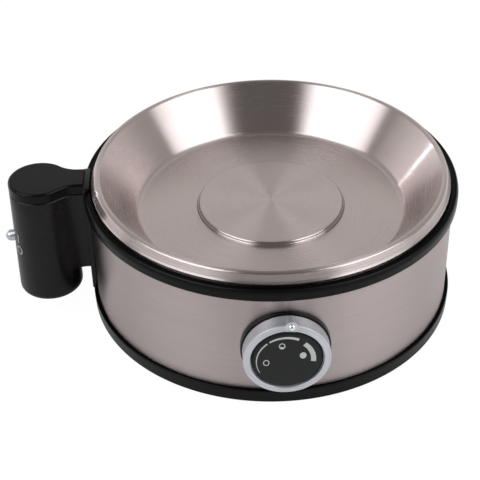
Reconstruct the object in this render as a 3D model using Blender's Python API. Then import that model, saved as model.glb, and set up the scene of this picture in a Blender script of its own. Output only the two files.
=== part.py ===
"""Round table-top electric heating base: an open steel dish over a heating element, a round
steel casing with a graded control knob on its front (-Y), and a side pod (-X) with an on/off
toggle. Metres, +Z up. The pieces are modelled about the casing's own axis, and the whole part
then stands with its origin at the middle of its footprint, at the table surface."""

import math

import bmesh
import bpy
from mathutils import Matrix, Vector

MM = 0.001

# ---------------------------------------------------------------- driving dimensions (mm)
GAP = 0.3                # clearance between neighbouring pieces
FOOT_H = 1.2             # how far the base ring stands above the table
CASING_AXIS = (21.08, 4.54)   # the casing's axis, from the middle of the footprint

SHELL_R = 90.8           # steel casing, outer radius
SHELL_T = 0.6
SHELL_Z = (7.5, 62.9)

RING_R = 93.0            # plastic top ring
RING_LOW = 62.0
RING_TOP = 68.7
GUTTER_R = 89.3          # inner wall of the ring beside the dish
LEDGE_TOP = 63.8

BASE_R = 92.8            # plastic base ring
BASE_TOP = 8.6

DISH_RIM_TOP = 73.2
DISH_R = 88.3
DISC_R = 36.4            # raised disc in the middle of the dish
DISC_TOP = 52.9
FLOOR_TOP = 50.7
FLOOR_R = 67.2
SHEET = 1.0              # dish sheet thickness
STUD_R = 2.0

KNOB_Z = 34.4            # height of the control knob's axis
KNOB_R = 20.0
DIAL_R = 16.8
KNOB_BACK = 92.6         # distances from the casing's axis, along -Y
KNOB_EDGE = 99.6
KNOB_FRONT = 100.5
DIAL_FRONT = 100.0
COLLAR_R = 20.7
POINTER_DEG = 84.4       # where the pointer stands now, anticlockwise from +X seen from the front

POD_X = -114.7           # axis of the side pod
POD_R_LOW = 16.1
POD_R_TOP = 15.0
POD_Z = (8.3, 66.0)
CAP_Z = (66.3, 71.7)
ARM_HALF = 7.6
ARM_END_X = -92.6
ARM_LOW_Z = 21.7
ARM_FILLET = 14.0
BRACKET_HALF = 9.3
BRACKET_X = -92.3
LUG_TOP = 69.3
DUCT_Z = 42.0

LEVER_PIVOT = (-121.5, 0.0, 39.8)
LEVER_TILT = math.radians(9.0)
LEVER_R = 3.05
LEVER_REACH = 13.8
ROCKER_PIVOT = (-115.5, 0.0, 39.8)

PLATE_Z = 20.2           # underside of the recessed base plate
CORD_R = 3.0


# ---------------------------------------------------------------- scene and materials
for old in list(bpy.data.objects):
    bpy.data.objects.remove(old, do_unlink=True)


def material(name, colour, roughness, metallic=0.0):
    m = bpy.data.materials.new(name)
    m.use_nodes = True
    shader = m.node_tree.nodes["Principled BSDF"]
    shader.inputs["Base Color"].default_value = (*colour, 1.0)
    shader.inputs["Roughness"].default_value = roughness
    shader.inputs["Metallic"].default_value = metallic
    m.diffuse_color = (*colour, 1.0)
    return m


def steel(name):
    return material(name + "_steel", (0.55, 0.52, 0.50), 0.32, 1.0)


def black(name):
    return material(name + "_black_plastic", (0.022, 0.022, 0.024), 0.42)


def bright(name):
    return material(name + "_satin_silver", (0.62, 0.62, 0.64), 0.28, 0.9)


def zinc(name):
    return material(name + "_zinc_plated", (0.6, 0.6, 0.62), 0.35, 1.0)


def brass(name):
    return material(name + "_brass", (0.72, 0.56, 0.28), 0.35, 1.0)


# ---------------------------------------------------------------- modelling helpers
def finish(name, bm, mat, origin=None, angle=35.0):
    """Turn a bmesh in millimetres into an object in metres, its origin at the given point."""
    bmesh.ops.recalc_face_normals(bm, faces=bm.faces)
    shift = Vector(origin) if origin else Vector((0, 0, 0))
    bmesh.ops.translate(bm, vec=-shift, verts=bm.verts)
    bmesh.ops.scale(bm, vec=(MM, MM, MM), verts=bm.verts)
    mesh = bpy.data.meshes.new(name)
    bm.to_mesh(mesh)
    bm.free()
    mesh.shade_smooth()
    mesh.set_sharp_from_angle(angle=math.radians(angle))
    if mat:
        mesh.materials.append(mat)
    obj = bpy.data.objects.new(name, mesh)
    obj.location = shift * MM
    bpy.context.scene.collection.objects.link(obj)
    return obj


def turned(profile, steps, centre=(0.0, 0.0), along="Z", height=0.0):
    """A profile of (radius, position) points turned about an axis. A profile that starts and
    ends on the axis makes a solid; any other is closed on itself and makes a ring."""
    bm = bmesh.new()
    verts = []
    for r, t in profile:
        if along == "Z":
            verts.append(bm.verts.new((centre[0] + r, centre[1], t)))
        else:
            verts.append(bm.verts.new((centre[0] + r, -t, height)))
    edges = [bm.edges.new(pair) for pair in zip(verts, verts[1:])]
    if profile[0][0] > 1e-6 or profile[-1][0] > 1e-6:
        edges.append(bm.edges.new((verts[-1], verts[0])))
    if along == "Z":
        cent, axis = (centre[0], centre[1], 0.0), (0, 0, 1)
    else:
        cent, axis = (centre[0], 0.0, height), (0, 1, 0)
    bmesh.ops.spin(bm, geom=verts + edges, cent=cent, axis=axis, angle=2 * math.pi,
                   steps=steps, use_merge=True, use_duplicate=False)
    bmesh.ops.remove_doubles(bm, verts=bm.verts, dist=1e-4)
    return bm


def prism(outline, low, high):
    """A flat outline of (x, y) points drawn up from one height to another."""
    bm = bmesh.new()
    face = bm.faces.new([bm.verts.new((x, y, low)) for x, y in outline])
    lifted = bmesh.ops.extrude_face_region(bm, geom=[face])
    moved = [g for g in lifted["geom"] if isinstance(g, bmesh.types.BMVert)]
    bmesh.ops.translate(bm, vec=(0, 0, high - low), verts=moved)
    return bm


def block(low, high):
    bm = bmesh.new()
    bmesh.ops.create_cube(bm, size=1.0)
    size = [b - a for a, b in zip(low, high)]
    bmesh.ops.scale(bm, vec=size, verts=bm.verts)
    bmesh.ops.translate(bm, vec=[(a + b) / 2 for a, b in zip(low, high)], verts=bm.verts)
    return bm


def rod(start, end, radius, sides=20, radius_end=None):
    bm = bmesh.new()
    start, end = Vector(start), Vector(end)
    turn = (end - start).to_track_quat("Z", "Y").to_matrix().to_4x4()
    bmesh.ops.create_cone(bm, cap_ends=True, cap_tris=False, segments=sides, radius1=radius,
                          radius2=radius if radius_end is None else radius_end,
                          depth=(end - start).length,
                          matrix=Matrix.Translation((start + end) / 2) @ turn)
    return bm


def bevel_edges(bm, width, segments, chosen):
    picked = [e for e in bm.edges if chosen(e)]
    bmesh.ops.bevel(bm, geom=picked, offset=width, segments=segments, profile=0.5,
                    affect="EDGES", clamp_overlap=True)
    return bm


def cutter(name, bm):
    obj = finish(name, bm, None)
    obj.hide_render = True
    obj.display_type = "WIRE"
    return obj


def boolean(obj, operation, other):
    modifier = obj.modifiers.new(operation.lower() + "_" + other.name, "BOOLEAN")
    modifier.operation = operation
    modifier.solver = "EXACT"
    modifier.object = other


def cut(obj, *others):
    for other in others:
        boolean(obj, "DIFFERENCE", other)


def join(obj, *others):
    for other in others:
        boolean(obj, "UNION", other)


def round_path(points, radius, count=2):
    """Replace each inner corner of a path by a short arc-like run of points."""
    points = [Vector(p) for p in points]
    path = [points[0]]
    for before, corner, after in zip(points, points[1:], points[2:]):
        a = (before - corner)
        b = (after - corner)
        reach = min(radius, a.length * 0.45, b.length * 0.45)
        start, end = corner + a.normalized() * reach, corner + b.normalized() * reach
        for i in range(count + 1):
            t = i / count
            path.append(start.lerp(corner, t).lerp(corner.lerp(end, t), t))
    path.append(points[-1])
    return path


def cable(name, points, radius, mat, resolution=1, corner=4.0):
    """A round cable along a path: a bevelled curve with filled ends."""
    data = bpy.data.curves.new(name, "CURVE")
    data.dimensions = "3D"
    data.bevel_depth = radius * MM
    data.bevel_resolution = resolution
    data.use_fill_caps = True
    path = round_path(points, corner) if corner else [Vector(p) for p in points]
    spline = data.splines.new("POLY")
    spline.points.add(len(path) - 1)
    for point, place in zip(spline.points, path):
        point.co = (*(place * MM), 1.0)
    data.materials.append(mat)
    obj = bpy.data.objects.new(name, data)
    bpy.context.scene.collection.objects.link(obj)
    return obj


# ---------------------------------------------------------------- dish
def dish_profile():
    slope = math.atan2(DISH_RIM_TOP - 0.8 - FLOOR_TOP, 83.9 - FLOOR_R)
    run = 5.0 * math.tan(slope / 2)
    c, s = math.cos(slope), math.sin(slope)
    top = [(0, DISC_TOP), (DISC_R - 1.6, DISC_TOP), (DISC_R, DISC_TOP - 0.5),
           (DISC_R + 1.0, FLOOR_TOP + 0.45), (DISC_R + 2.4, FLOOR_TOP),
           (FLOOR_R - run, FLOOR_TOP), (FLOOR_R - 0.25, FLOOR_TOP + 0.55),
           (FLOOR_R + run * c, FLOOR_TOP + run * s),
           (83.7, DISH_RIM_TOP - 1.1), (85.2, DISH_RIM_TOP), (87.0, DISH_RIM_TOP - 0.15),
           (DISH_R, DISH_RIM_TOP - 1.6),
           (DISH_R + 0.35, 65.6)]
    under = [(DISH_R - 0.65, 65.6), (DISH_R - 1.0, DISH_RIM_TOP - 2.1),
             (85.2, DISH_RIM_TOP - 1.3),
             (FLOOR_R + run * c + SHEET * s, FLOOR_TOP + run * s - SHEET * c),
             (FLOOR_R - run + 0.4, FLOOR_TOP - SHEET),
             (DISC_R + 1.6, FLOOR_TOP - SHEET), (DISC_R - 1.4, DISC_TOP - SHEET), (STUD_R, DISC_TOP - SHEET),
             (STUD_R, 33.0), (0, 33.0)]
    return top + under


dish = finish("heating_dish", turned(dish_profile(), 44), steel("heating_dish"), angle=50)

gasket = finish("dish_gasket", turned(
    [(80.6, 64.1), (88.8, 64.1), (88.8, 65.3), (80.6, 65.3)], 32),
    material("gasket_silicone", (0.10, 0.10, 0.10), 0.7))

# ---------------------------------------------------------------- top ring, casing, base ring
groove_in, groove_out = SHELL_R - SHELL_T - GAP, SHELL_R + GAP
top_ring = finish("top_ring", turned(
    [(RING_R, 66.4), (RING_R - 0.6, 67.9), (RING_R - 2.2, RING_TOP), (GUTTER_R, RING_TOP),
     (GUTTER_R, LEDGE_TOP), (80.2, LEDGE_TOP), (80.2, 61.9), (88.2, 61.9), (88.2, 56.0),
     (groove_in, 56.0), (groove_in, SHELL_Z[1] + GAP), (groove_out, SHELL_Z[1] + GAP),
     (groove_out, RING_LOW), (RING_R - 0.9, RING_LOW)], 48), black("top_ring"))
lug_room = cutter("lug_room", block((-95.0, -BRACKET_HALF - GAP, 61.0),
                                    (-89.35, BRACKET_HALF + GAP, 72.0)))
cut(top_ring, lug_room)

shell = finish("shell", turned(
    [(SHELL_R, SHELL_Z[1]), (SHELL_R, SHELL_Z[0]), (SHELL_R - SHELL_T, SHELL_Z[0]),
     (SHELL_R - SHELL_T, SHELL_Z[1])], 48), steel("shell"))
shaft_room = cutter("shaft_room", rod((0, -95, KNOB_Z), (0, -82, KNOB_Z), 5.9, 24))
duct_room = cutter("duct_room", rod((-106.0, 0, DUCT_Z), (-85, 0, DUCT_Z), 3.6, 16))
SCREW_HEIGHTS = (29.0, 52.0)
screw_rooms = [cutter("pod_screw_room_%d" % (i + 1),
                      rod((-98.0, 0, z), (-85, 0, z), 1.3 + GAP, 12))
               for i, z in enumerate(SCREW_HEIGHTS)]
cut(shell, shaft_room, duct_room, *screw_rooms)

base_ring = finish("base_ring", turned(
    [(BASE_R, 1.8), (BASE_R, 8.0), (BASE_R - 0.6, BASE_TOP), (groove_out, BASE_TOP),
     (groove_out, SHELL_Z[0] - GAP), (groove_in, SHELL_Z[0] - GAP), (groove_in, 10.4),
     (88.4, 10.4), (88.4, 5.0), (77.0, 5.0), (77.0, 3.6), (88.5, 3.6), (88.5, FOOT_H),
     (BASE_R - 0.6, FOOT_H)], 48), black("base_ring"))

# ---------------------------------------------------------------- base plate with cord store
base_plate = finish("base_plate", turned(
    [(0, PLATE_Z + 1.8), (76.4, PLATE_Z + 1.8), (76.4, 3.3), (88.1, 3.3), (88.1, 1.9),
     (74.6, 1.9), (74.6, PLATE_Z), (37.0, PLATE_Z), (37.0, 4.6), (42.0, 4.6), (42.0, 3.0),
     (35.0, 3.0), (35.0, PLATE_Z), (0, PLATE_Z)], 40), black("base_plate"))
hub_notch = cutter("hub_notch", block((-44, -3.8, 1.0), (-33, 3.8, 18.0)))
CORD_OUT_R = 66.0
CORD_EXIT = (CORD_OUT_R * math.cos(math.radians(72)), CORD_OUT_R * math.sin(math.radians(72)))
cord_room = cutter("cord_room", rod((*CORD_EXIT, 18.0), (*CORD_EXIT, 24.0), 5.0, 16))
vents = []
for i in range(6):
    turn = Matrix.Rotation(math.radians(60 * i + 42), 4, "Z")
    slot = block((46.0, -1.6, 18.0), (64.0, 1.6, 24.0))
    bmesh.ops.transform(slot, matrix=turn, verts=slot.verts)
    vents.append(cutter("vent_%d" % (i + 1), slot))
cut(base_plate, hub_notch, cord_room, *vents)

FOOT_AT = [(82.3 * math.cos(math.radians(a)), 82.3 * math.sin(math.radians(a)))
           for a in (45, 135, 225, 315)]
for i, (x, y) in enumerate(FOOT_AT):
    finish("foot_%d" % (i + 1), turned(
        [(0, 1.6), (4.6, 1.6), (4.6, 0.35), (4.2, 0.0), (0, 0.0)], 14, centre=(x, y)),
        material("foot_%d_rubber" % (i + 1), (0.03, 0.03, 0.03), 0.8))

for i in range(4):
    a = math.radians(90 * i + 20)
    x, y = 82.3 * math.cos(a), 82.3 * math.sin(a)
    room = cutter("base_screw_room_%d" % (i + 1), rod((x, y, 1.0), (x, y, 6.0), 1.6, 12))
    cut(base_plate, room)
    cut(base_ring, room)
    finish("base_screw_%d" % (i + 1), turned(
        [(0, 9.0), (1.3, 9.0), (1.3, 1.6), (2.8, 1.6), (2.3, 0.6), (0, 0.6)], 10, centre=(x, y)), zinc("base_screw_%d" % (i + 1)))

# ---------------------------------------------------------------- mains cord, plug and bush
cord_turns = 3.0
spiral = []
count = 56
start_deg = 180.0
sweep = 360.0 * cord_turns - 108.0
for i in range(count + 1):
    t = i / count
    a = math.radians(start_deg + sweep * t)
    r = 48.0 + (CORD_OUT_R - 48.0) * t
    spiral.append((r * math.cos(a), r * math.sin(a), 13.2))
cord_path = ([(-18.6, 0, 11.0), (-30, 0, 11.0), (-41, 0, 12.0), (-46.5, -0.8, 13.0)]
             + spiral[1:-1] + [(*CORD_EXIT, 14.2), (*CORD_EXIT, 17.0), (*CORD_EXIT, 27.0)])
mains_cord = cable("mains_cord", cord_path, CORD_R,
                   material("mains_cord_pvc", (0.02, 0.02, 0.02), 0.5), 1, corner=0)

plug_body = block((-18.2, -12.6, 4.6), (12.0, 12.6, 17.6))
bevel_edges(plug_body, 3.4, 2, lambda e: abs(e.verts[0].co.x - e.verts[1].co.x) > 1)
plug = finish("plug", plug_body, black("plug"))
for i, y in enumerate((-9.3, 9.3)):
    join(plug, cutter("plug_pin_shape_%d" % (i + 1), rod((11.0, y, 11.0), (30.5, y, 11.0), 2.0, 12)))

finish("cord_bush", turned(
    [(CORD_R + GAP, 26.0), (4.6, 26.0), (4.6, 19.0), (6.6, 19.0), (6.6, 17.6),
     (CORD_R + GAP, 17.6)], 16, centre=CORD_EXIT),
    material("cord_bush_rubber", (0.03, 0.03, 0.03), 0.7))
cord_seat = cutter("cord_seat", rod((*CORD_EXIT, 16.0), (*CORD_EXIT, 20.4), 6.9, 20))
cut(base_plate, cord_seat)

# ---------------------------------------------------------------- heating stack
finish("heat_spreader", turned(
    [(STUD_R + GAP, 51.55), (DISC_R - 2.3, 51.55), (DISC_R + 1.5, 49.35), (58.0, 49.35),
     (58.0, 46.8), (STUD_R + GAP, 46.8)], 32),
    material("heat_spreader_aluminium", (0.8, 0.8, 0.82), 0.45, 1.0))

element_arc = []
for i in range(29):
    a = math.radians(-76 + 332 * i / 28)
    element_arc.append((44.0 * math.cos(a), 44.0 * math.sin(a), 43.2))
first, last = element_arc[0], element_arc[-1]
cable("heating_element",
      [(first[0], first[1], 30.0), (first[0], first[1], 40.6)] + element_arc[1:-1]
      + [(last[0], last[1], 40.6), (last[0], last[1], 30.0)], 3.1,
      material("heating_element_sheath", (0.30, 0.28, 0.26), 0.5, 1.0), 1, corner=0)

clamp_bar = finish("clamp_bar", block((-51, -6, 37.9), (51, 6, 39.6)), zinc("clamp_bar"))
stud_room = cutter("stud_room", rod((0, 0, 30), (0, 0, 45), STUD_R + GAP, 16))
cut(clamp_bar, stud_room)
clamp_nut = finish("clamp_nut", rod((0, 0, 34.6), (0, 0, 37.6), 4.0, 6), zinc("clamp_nut"))
cut(clamp_nut, stud_room)

finish("thermal_fuse", rod((-6, 26, 44.0), (6, 26, 44.0), 2.3, 14),
       material("thermal_fuse_case", (0.75, 0.7, 0.6), 0.4, 0.6))

terminal_block = finish("terminal_block", block((14, 48, 22.3), (34, 58, 31.5)),
                        material("terminal_block_nylon", (0.85, 0.83, 0.78), 0.5))

# ---------------------------------------------------------------- regulator behind the knob
def around_knob(profile, steps):
    return turned(profile, steps, along="Y", height=KNOB_Z)


regulator_body = finish("regulator_body", block((-12, -86.4, KNOB_Z - 11), (12, -66, KNOB_Z + 11)),
                        material("regulator_body_ceramic", (0.82, 0.80, 0.74), 0.6))
bushing = cutter("regulator_bushing_shape", rod((0, -93.0, KNOB_Z), (0, -85.0, KNOB_Z), 5.6, 20))
works_room = cutter("regulator_works_room", block((-10, -84.6, KNOB_Z - 9), (10, -60, KNOB_Z + 9)))
sleeve_room = cutter("sleeve_room", rod((0, -96, KNOB_Z), (0, -80, KNOB_Z), 4.4, 20))
join(regulator_body, bushing)
cut(regulator_body, works_room, sleeve_room)

finish("regulator_cover", block((-12, -65.7, KNOB_Z - 11), (12, -64.0, KNOB_Z + 11)),
       material("regulator_cover_phenolic", (0.25, 0.13, 0.07), 0.5))

regulator_nut = finish("regulator_nut", rod((0, -92.9, KNOB_Z), (0, -91.1, KNOB_Z), 8.0, 6),
                       brass("regulator_nut"))
cut(regulator_nut, cutter("nut_bore", rod((0, -95, KNOB_Z), (0, -89, KNOB_Z), 5.9, 20)))

finish("contact_leaf", block((-9.4, -71.4, KNOB_Z - 8.4), (6.5, -69.4, KNOB_Z - 7.9)),
       material("contact_leaf_bronze", (0.75, 0.5, 0.3), 0.35, 1.0))

for i, x in enumerate((-6.5, 6.5)):
    tab = finish("regulator_terminal_%d" % (i + 1),
                 block((x - 0.4, -63.7, KNOB_Z - 8), (x + 0.4, -57.0, KNOB_Z - 2)),
                 brass("regulator_terminal_%d" % (i + 1)))

finish("dial_post", rod((0, -98.4, KNOB_Z), (0, -66.0, KNOB_Z), 2.0, 14), zinc("dial_post"))

dial_face = finish("dial_face", around_knob(
    [(0, DIAL_FRONT), (DIAL_R - 1.3, DIAL_FRONT), (DIAL_R - 1.0, DIAL_FRONT - 0.15),
     (DIAL_R - 0.8, DIAL_FRONT), (DIAL_R - 0.3, DIAL_FRONT), (DIAL_R - 0.3, 98.7), (0, 98.7)],
    30), black("dial_face"))

collar = finish("knob_collar", around_knob(
    [(COLLAR_R, KNOB_BACK - GAP), (14.0, KNOB_BACK - GAP), (14.0, 87.0), (COLLAR_R, 87.0)], 32),
    black("knob_collar"))
shell_clear = cutter("shell_clear", rod((0, 0, 2.0), (0, 0, 63.2), SHELL_R + GAP, 72))
cut(collar, shell_clear)

# ---------------------------------------------------------------- control knob (turns)
KNOB_AXIS = (0.0, -96.0, KNOB_Z)
knob = finish("knob_ring", around_knob(
    [(KNOB_R - 0.3, KNOB_BACK), (KNOB_R, KNOB_BACK + 0.4), (KNOB_R, KNOB_EDGE - 0.3),
     (KNOB_R - 0.35, KNOB_EDGE), (DIAL_R + 0.6, KNOB_FRONT), (DIAL_R, KNOB_FRONT - 0.3),
     (DIAL_R, 98.3), (4.4, 98.3), (4.4, 93.4), (6.6, 93.4), (6.6, 96.6), (17.6, 96.6),
     (17.6, KNOB_BACK)], 36), bright("knob_ring"), origin=KNOB_AXIS)
pa = math.radians(POINTER_DEG)


def knob_point(radius, rho):
    return (radius * math.cos(pa), -rho, KNOB_Z + radius * math.sin(pa))


boss = cutter("pointer_boss_shape", rod(knob_point(18.9, 95.0), knob_point(18.7, 100.1), 2.0, 16,
                                        radius_end=3.0))
join(knob, boss)
cut(knob, cutter("dial_well", rod((0, -98.3, KNOB_Z), (0, -103.0, KNOB_Z), DIAL_R, 36)))

lens_bm = bmesh.new()
bmesh.ops.create_uvsphere(lens_bm, u_segments=12, v_segments=8, radius=1.75)
bmesh.ops.bisect_plane(lens_bm, geom=list(lens_bm.verts) + list(lens_bm.edges) + list(lens_bm.faces),
                       plane_co=(0, 0, 0), plane_no=(0, 1, 0), clear_outer=True)
bmesh.ops.holes_fill(lens_bm, edges=[e for e in lens_bm.edges if e.is_boundary], sides=0)
bmesh.ops.scale(lens_bm, vec=(1, 0.7, 1), verts=lens_bm.verts)
bmesh.ops.translate(lens_bm, vec=knob_point(18.8, 100.85), verts=lens_bm.verts)
finish("pointer_bead", lens_bm, material("pointer_bead_chrome", (0.9, 0.9, 0.92), 0.08, 1.0),
       origin=KNOB_AXIS)

finish("drive_sleeve", around_knob(
    [(4.1, 98.0), (4.1, 67.0), (2.3, 67.0), (2.3, 98.0)], 16), brass("drive_sleeve"),
    origin=KNOB_AXIS)


def cam_outline():
    points = []
    for i in range(24):
        a = 2 * math.pi * i / 24
        points.append((5.2 + 1.9 * (i / 23) ** 1.2, a))
    return points


cam_bm = bmesh.new()
ring = [cam_bm.verts.new((r * math.cos(a), -69.2, KNOB_Z + r * math.sin(a))) for r, a in cam_outline()]
face = cam_bm.faces.new(ring)
grown = bmesh.ops.extrude_face_region(cam_bm, geom=[face])
bmesh.ops.translate(cam_bm, vec=(0, -2.6, 0),
                    verts=[g for g in grown["geom"] if isinstance(g, bmesh.types.BMVert)])
cam = finish("regulator_cam", cam_bm, material("regulator_cam_nylon", (0.9, 0.9, 0.88), 0.4),
             origin=KNOB_AXIS)
cut(cam, cutter("cam_bore", rod((0, -73, KNOB_Z), (0, -67, KNOB_Z), 4.4, 20)))

# ---------------------------------------------------------------- arm bracket on the casing
bracket = finish("arm_bracket", block((BRACKET_X, -BRACKET_HALF, BASE_TOP + GAP),
                                      (-89.65, BRACKET_HALF, LUG_TOP)), black("arm_bracket"))
cut(bracket, shell_clear, duct_room, *screw_rooms)

# ---------------------------------------------------------------- side pod
def pod_outline(radius, half, end_x, inset=0.0, steps=6):
    """Top view of the pod: a circle that runs through hollow curves into a straight arm."""
    fillet = ARM_FILLET + inset
    radius, half = radius - inset, half - inset
    cx = POD_X + math.sqrt((radius + fillet) ** 2 - (half + fillet) ** 2)
    cy = half + fillet
    to_centre = math.atan2(cy, cx - POD_X)
    points = [(end_x, half)]
    back = math.atan2(-cy, POD_X - cx)
    for i in range(steps):
        a = -math.pi / 2 + (back + math.pi / 2) * i / (steps - 1)
        points.append((cx + fillet * math.cos(a), cy + fillet * math.sin(a)))
    wide = 2 * (math.pi - to_centre)
    turns = 18
    for i in range(1, turns):
        a = to_centre + wide * i / turns
        points.append((POD_X + radius * math.cos(a), radius * math.sin(a)))
    lower = [(x, -y) for x, y in reversed(points[:steps + 1])]
    return points + lower


housing = finish("pod_housing", turned(
    [(0, POD_Z[1]), (POD_R_TOP + 0.1, POD_Z[1]), (POD_R_LOW - 0.1, POD_Z[0] + 3.0),
     (POD_R_LOW - 0.75, POD_Z[0] + 1.1), (POD_R_LOW - 2.0, POD_Z[0] + 0.25),
     (POD_R_LOW - 3.2, POD_Z[0]), (0, POD_Z[0])], 32, centre=(POD_X, 0)), black("pod_housing"))
web = cutter("pod_web_shape", prism(pod_outline(POD_R_TOP, ARM_HALF, ARM_END_X), ARM_LOW_Z,
                                    POD_Z[1]))
hollow = cutter("pod_hollow", rod((POD_X, 0, POD_Z[0] + 2.4), (POD_X, 0, 70.0), 13.2, 24))
lever_slot = block((-135.0, -3.5, LEVER_PIVOT[2] - 4.9), (-124.0, 3.5, LEVER_PIVOT[2] + 4.9))
bevel_edges(lever_slot, 2.8, 3, lambda e: abs(e.verts[0].co.x - e.verts[1].co.x) > 1)
lever_room = cutter("lever_room", lever_slot)
join(housing, web)
cut(housing, hollow, lever_room, duct_room, *screw_rooms)

cap_bm = prism(pod_outline(POD_R_TOP, ARM_HALF, ARM_END_X), CAP_Z[0], CAP_Z[1])
bevel_edges(cap_bm, 0.9, 1, lambda e: all(v.co.z > CAP_Z[1] - 0.01 for v in e.verts)
            and not all(abs(v.co.x - ARM_END_X) < 0.01 for v in e.verts))
cap = finish("pod_cap", cap_bm, black("pod_cap"))
cap_hollow = cutter("cap_hollow", prism(pod_outline(POD_R_TOP, ARM_HALF, ARM_END_X - 2.0, 2.0),
                                        60.0, CAP_Z[1] - 2.0))
cut(cap, cap_hollow)

for i, z in enumerate(SCREW_HEIGHTS):
    bm = bmesh.new()
    shank = [(0, 97.4), (1.3, 97.4), (1.3, 89.7), (3.0, 89.7), (2.4, 88.0), (0, 88.0)]
    bm = turned(shank, 10)
    bmesh.ops.rotate(bm, cent=(0, 0, 0), matrix=Matrix.Rotation(math.radians(-90), 3, "Y"),
                     verts=bm.verts)
    bmesh.ops.translate(bm, vec=(0, 0, z), verts=bm.verts)
    finish("pod_screw_%d" % (i + 1), bm, zinc("pod_screw_%d" % (i + 1)))

# ---------------------------------------------------------------- toggle switch in the pod
px, _, pz = LEVER_PIVOT
switch_body = finish("switch_body", block((-126.0, -7.0, pz - 10.5), (-110.0, 7.0, pz + 10.5)),
                     material("switch_body_phenolic", (0.12, 0.05, 0.03), 0.5))
switch_room = cutter("switch_room", block((-130.0, -5.0, pz - 8.6), (-112.2, 5.0, pz + 8.6)))
pin_room = cutter("lever_pin_room", rod((px, -9, pz), (px, 9, pz), 1.1, 12))
blades = [pz - 7.4, pz + 7.4]
blade_rooms = [cutter("blade_room_%d" % (i + 1), block((-114.0, -2.8, z - 0.7), (-108.0, 2.8, z + 0.7)))
               for i, z in enumerate(blades)]
cut(switch_body, switch_room, pin_room, *blade_rooms)
pod_fit = cutter("pod_fit", turned([(18.0, 60.0), (18.0, 20.0), (12.9, 20.0), (12.9, 60.0)], 24,
                                   centre=(POD_X, 0)))
cut(switch_body, pod_fit)

finish("lever_pin", rod((px, -6.6, pz), (px, 6.6, pz), 0.8, 12), zinc("lever_pin"))

for i, z in enumerate(blades):
    finish("switch_terminal_%d" % (i + 1), block((-113.6, -2.5, z - 0.4), (-105.5, 2.5, z + 0.4)),
           brass("switch_terminal_%d" % (i + 1)))


def tilted(bm):
    bmesh.ops.rotate(bm, cent=LEVER_PIVOT, matrix=Matrix.Rotation(-LEVER_TILT, 3, "Y"),
                     verts=bm.verts)
    return bm


lever_profile = [(0, 0.0), (1.8, 0.0), (1.8, 5.6), (LEVER_R, 6.6),
                 (LEVER_R, LEVER_REACH - 2.9), (LEVER_R * 0.92, LEVER_REACH - 1.7),
                 (LEVER_R * 0.66, LEVER_REACH - 0.7), (LEVER_R * 0.3, LEVER_REACH - 0.12),
                 (0, LEVER_REACH)]
lever_bm = turned(lever_profile, 16)
bmesh.ops.rotate(lever_bm, cent=(0, 0, 0), matrix=Matrix.Rotation(math.radians(-90), 3, "Y"),
                 verts=lever_bm.verts)
bmesh.ops.translate(lever_bm, vec=LEVER_PIVOT, verts=lever_bm.verts)
lever = finish("toggle_lever", tilted(lever_bm), bright("toggle_lever"), origin=LEVER_PIVOT)
join(lever, cutter("lever_hub_shape", rod((px, -4.6, pz), (px, 4.6, pz), 2.5, 18)),
     cutter("lever_tail_shape", tilted(rod((px + 1.0, 0, pz), (px + 3.9, 0, pz), 1.2, 12))))
cut(lever, pin_room)

rocker_bm = block((ROCKER_PIVOT[0] - 0.6, -3.4, pz - 5.6), (ROCKER_PIVOT[0] + 0.6, 3.4, pz + 5.6))
bmesh.ops.rotate(rocker_bm, cent=ROCKER_PIVOT, matrix=Matrix.Rotation(LEVER_TILT, 3, "Y"),
                 verts=rocker_bm.verts)
finish("contact_rocker", rocker_bm, material("contact_rocker_bronze", (0.75, 0.5, 0.3), 0.35, 1.0),
       origin=ROCKER_PIVOT)

# ---------------------------------------------------------------- inner wiring
red = (0.35, 0.03, 0.03)
blue = (0.03, 0.06, 0.30)
white = (0.7, 0.7, 0.68)
cable("lead_block_to_regulator", [(30, 53, 31.9), (30, 53, 35), (62, 40, 34), (66, -20, 33),
                                  (30, -58, 30), (8.2, -60.5, 28.6)], 0.9,
      material("lead_red_pvc", red, 0.5))
cable("lead_block_to_switch", [(18, 53, 31.9), (18, 53, 35.0), (-30, 60, 35), (-68, 34, 38),
                               (-84, 1.4, DUCT_Z), (-104.2, 1.4, DUCT_Z), (-105.0, 1.4, 45.6)],
      0.9, material("lead_blue_pvc", blue, 0.5))
cable("lead_switch_to_fuse", [(-105.0, -1.4, 33.8), (-104.2, -1.4, DUCT_Z), (-84, -1.4, DUCT_Z),
                              (-66, 10, 34), (-44, 24, 33), (-24, 30, 34), (-13, 27, 42.8), (-6.4, 26, 44.0)],
      0.9, material("lead_black_pvc", (0.03, 0.03, 0.03), 0.5))
cable("lead_fuse_to_element", [(6.4, 26, 44.0), (13, 26, 42.6), (22, 24, 35.0), (30, 0, 34), (22, -34, 30),
                               (10.6, -42.0, 28.6)], 0.9,
      material("lead_white_glassfibre", white, 0.7))
cable("lead_regulator_to_element", [(-8.2, -60.5, 28.6), (-8.2, -55, 27.2), (-10.6, -50, 26.0),
                                    (-10.6, -43.4, 28.4)],
      0.9, material("lead_white_silicone", white, 0.6))

# ---------------------------------------------------------------- placing on the footprint
casing_axis = bpy.data.objects.new("casing_axis", None)
casing_axis.location = (CASING_AXIS[0] * MM, CASING_AXIS[1] * MM, 0.0)
pieces = list(bpy.context.scene.collection.objects)
bpy.context.scene.collection.objects.link(casing_axis)
for piece in pieces:
    piece.parent = casing_axis
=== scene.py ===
"""The looks of the round table-top heating base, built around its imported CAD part."""
import math

import bmesh
import bpy
from mathutils import Matrix, Vector


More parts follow.
